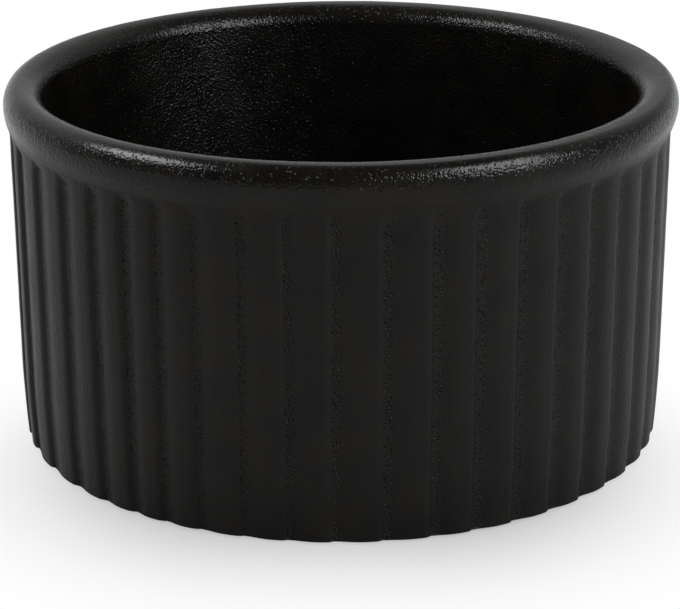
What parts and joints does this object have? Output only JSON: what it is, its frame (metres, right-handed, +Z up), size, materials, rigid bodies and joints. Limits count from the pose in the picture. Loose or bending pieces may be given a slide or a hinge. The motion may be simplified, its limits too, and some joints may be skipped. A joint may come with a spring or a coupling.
{
  "type": "baking dish",
  "caption": "Round straight-sided baking dish with upright ribs, a rolled rim, a rounded bowl and a flat foot ring.",
  "frame": {"origin": "centre of the foot, on the surface that the dish stands on", "axes": "+Z up along the dish's axis of symmetry, +X through the deepest line of a groove, +Y to the back of the pictured view"},
  "size_m": [0.0908, 0.0908, 0.049],
  "materials": {
    "bare_clay": "bare fired stoneware, fine-grained and matt, nearly black",
    "black_glaze": "satin black glaze with a fine pebbled skin",
    "foot_glaze": "satin black glaze, thinner and a little smoother"
  },
  "bodies": {
    "root": {"clay_body": "bare_clay", "main_glaze": "black_glaze", "foot_glaze": "foot_glaze"}
  },
  "joints": []
}
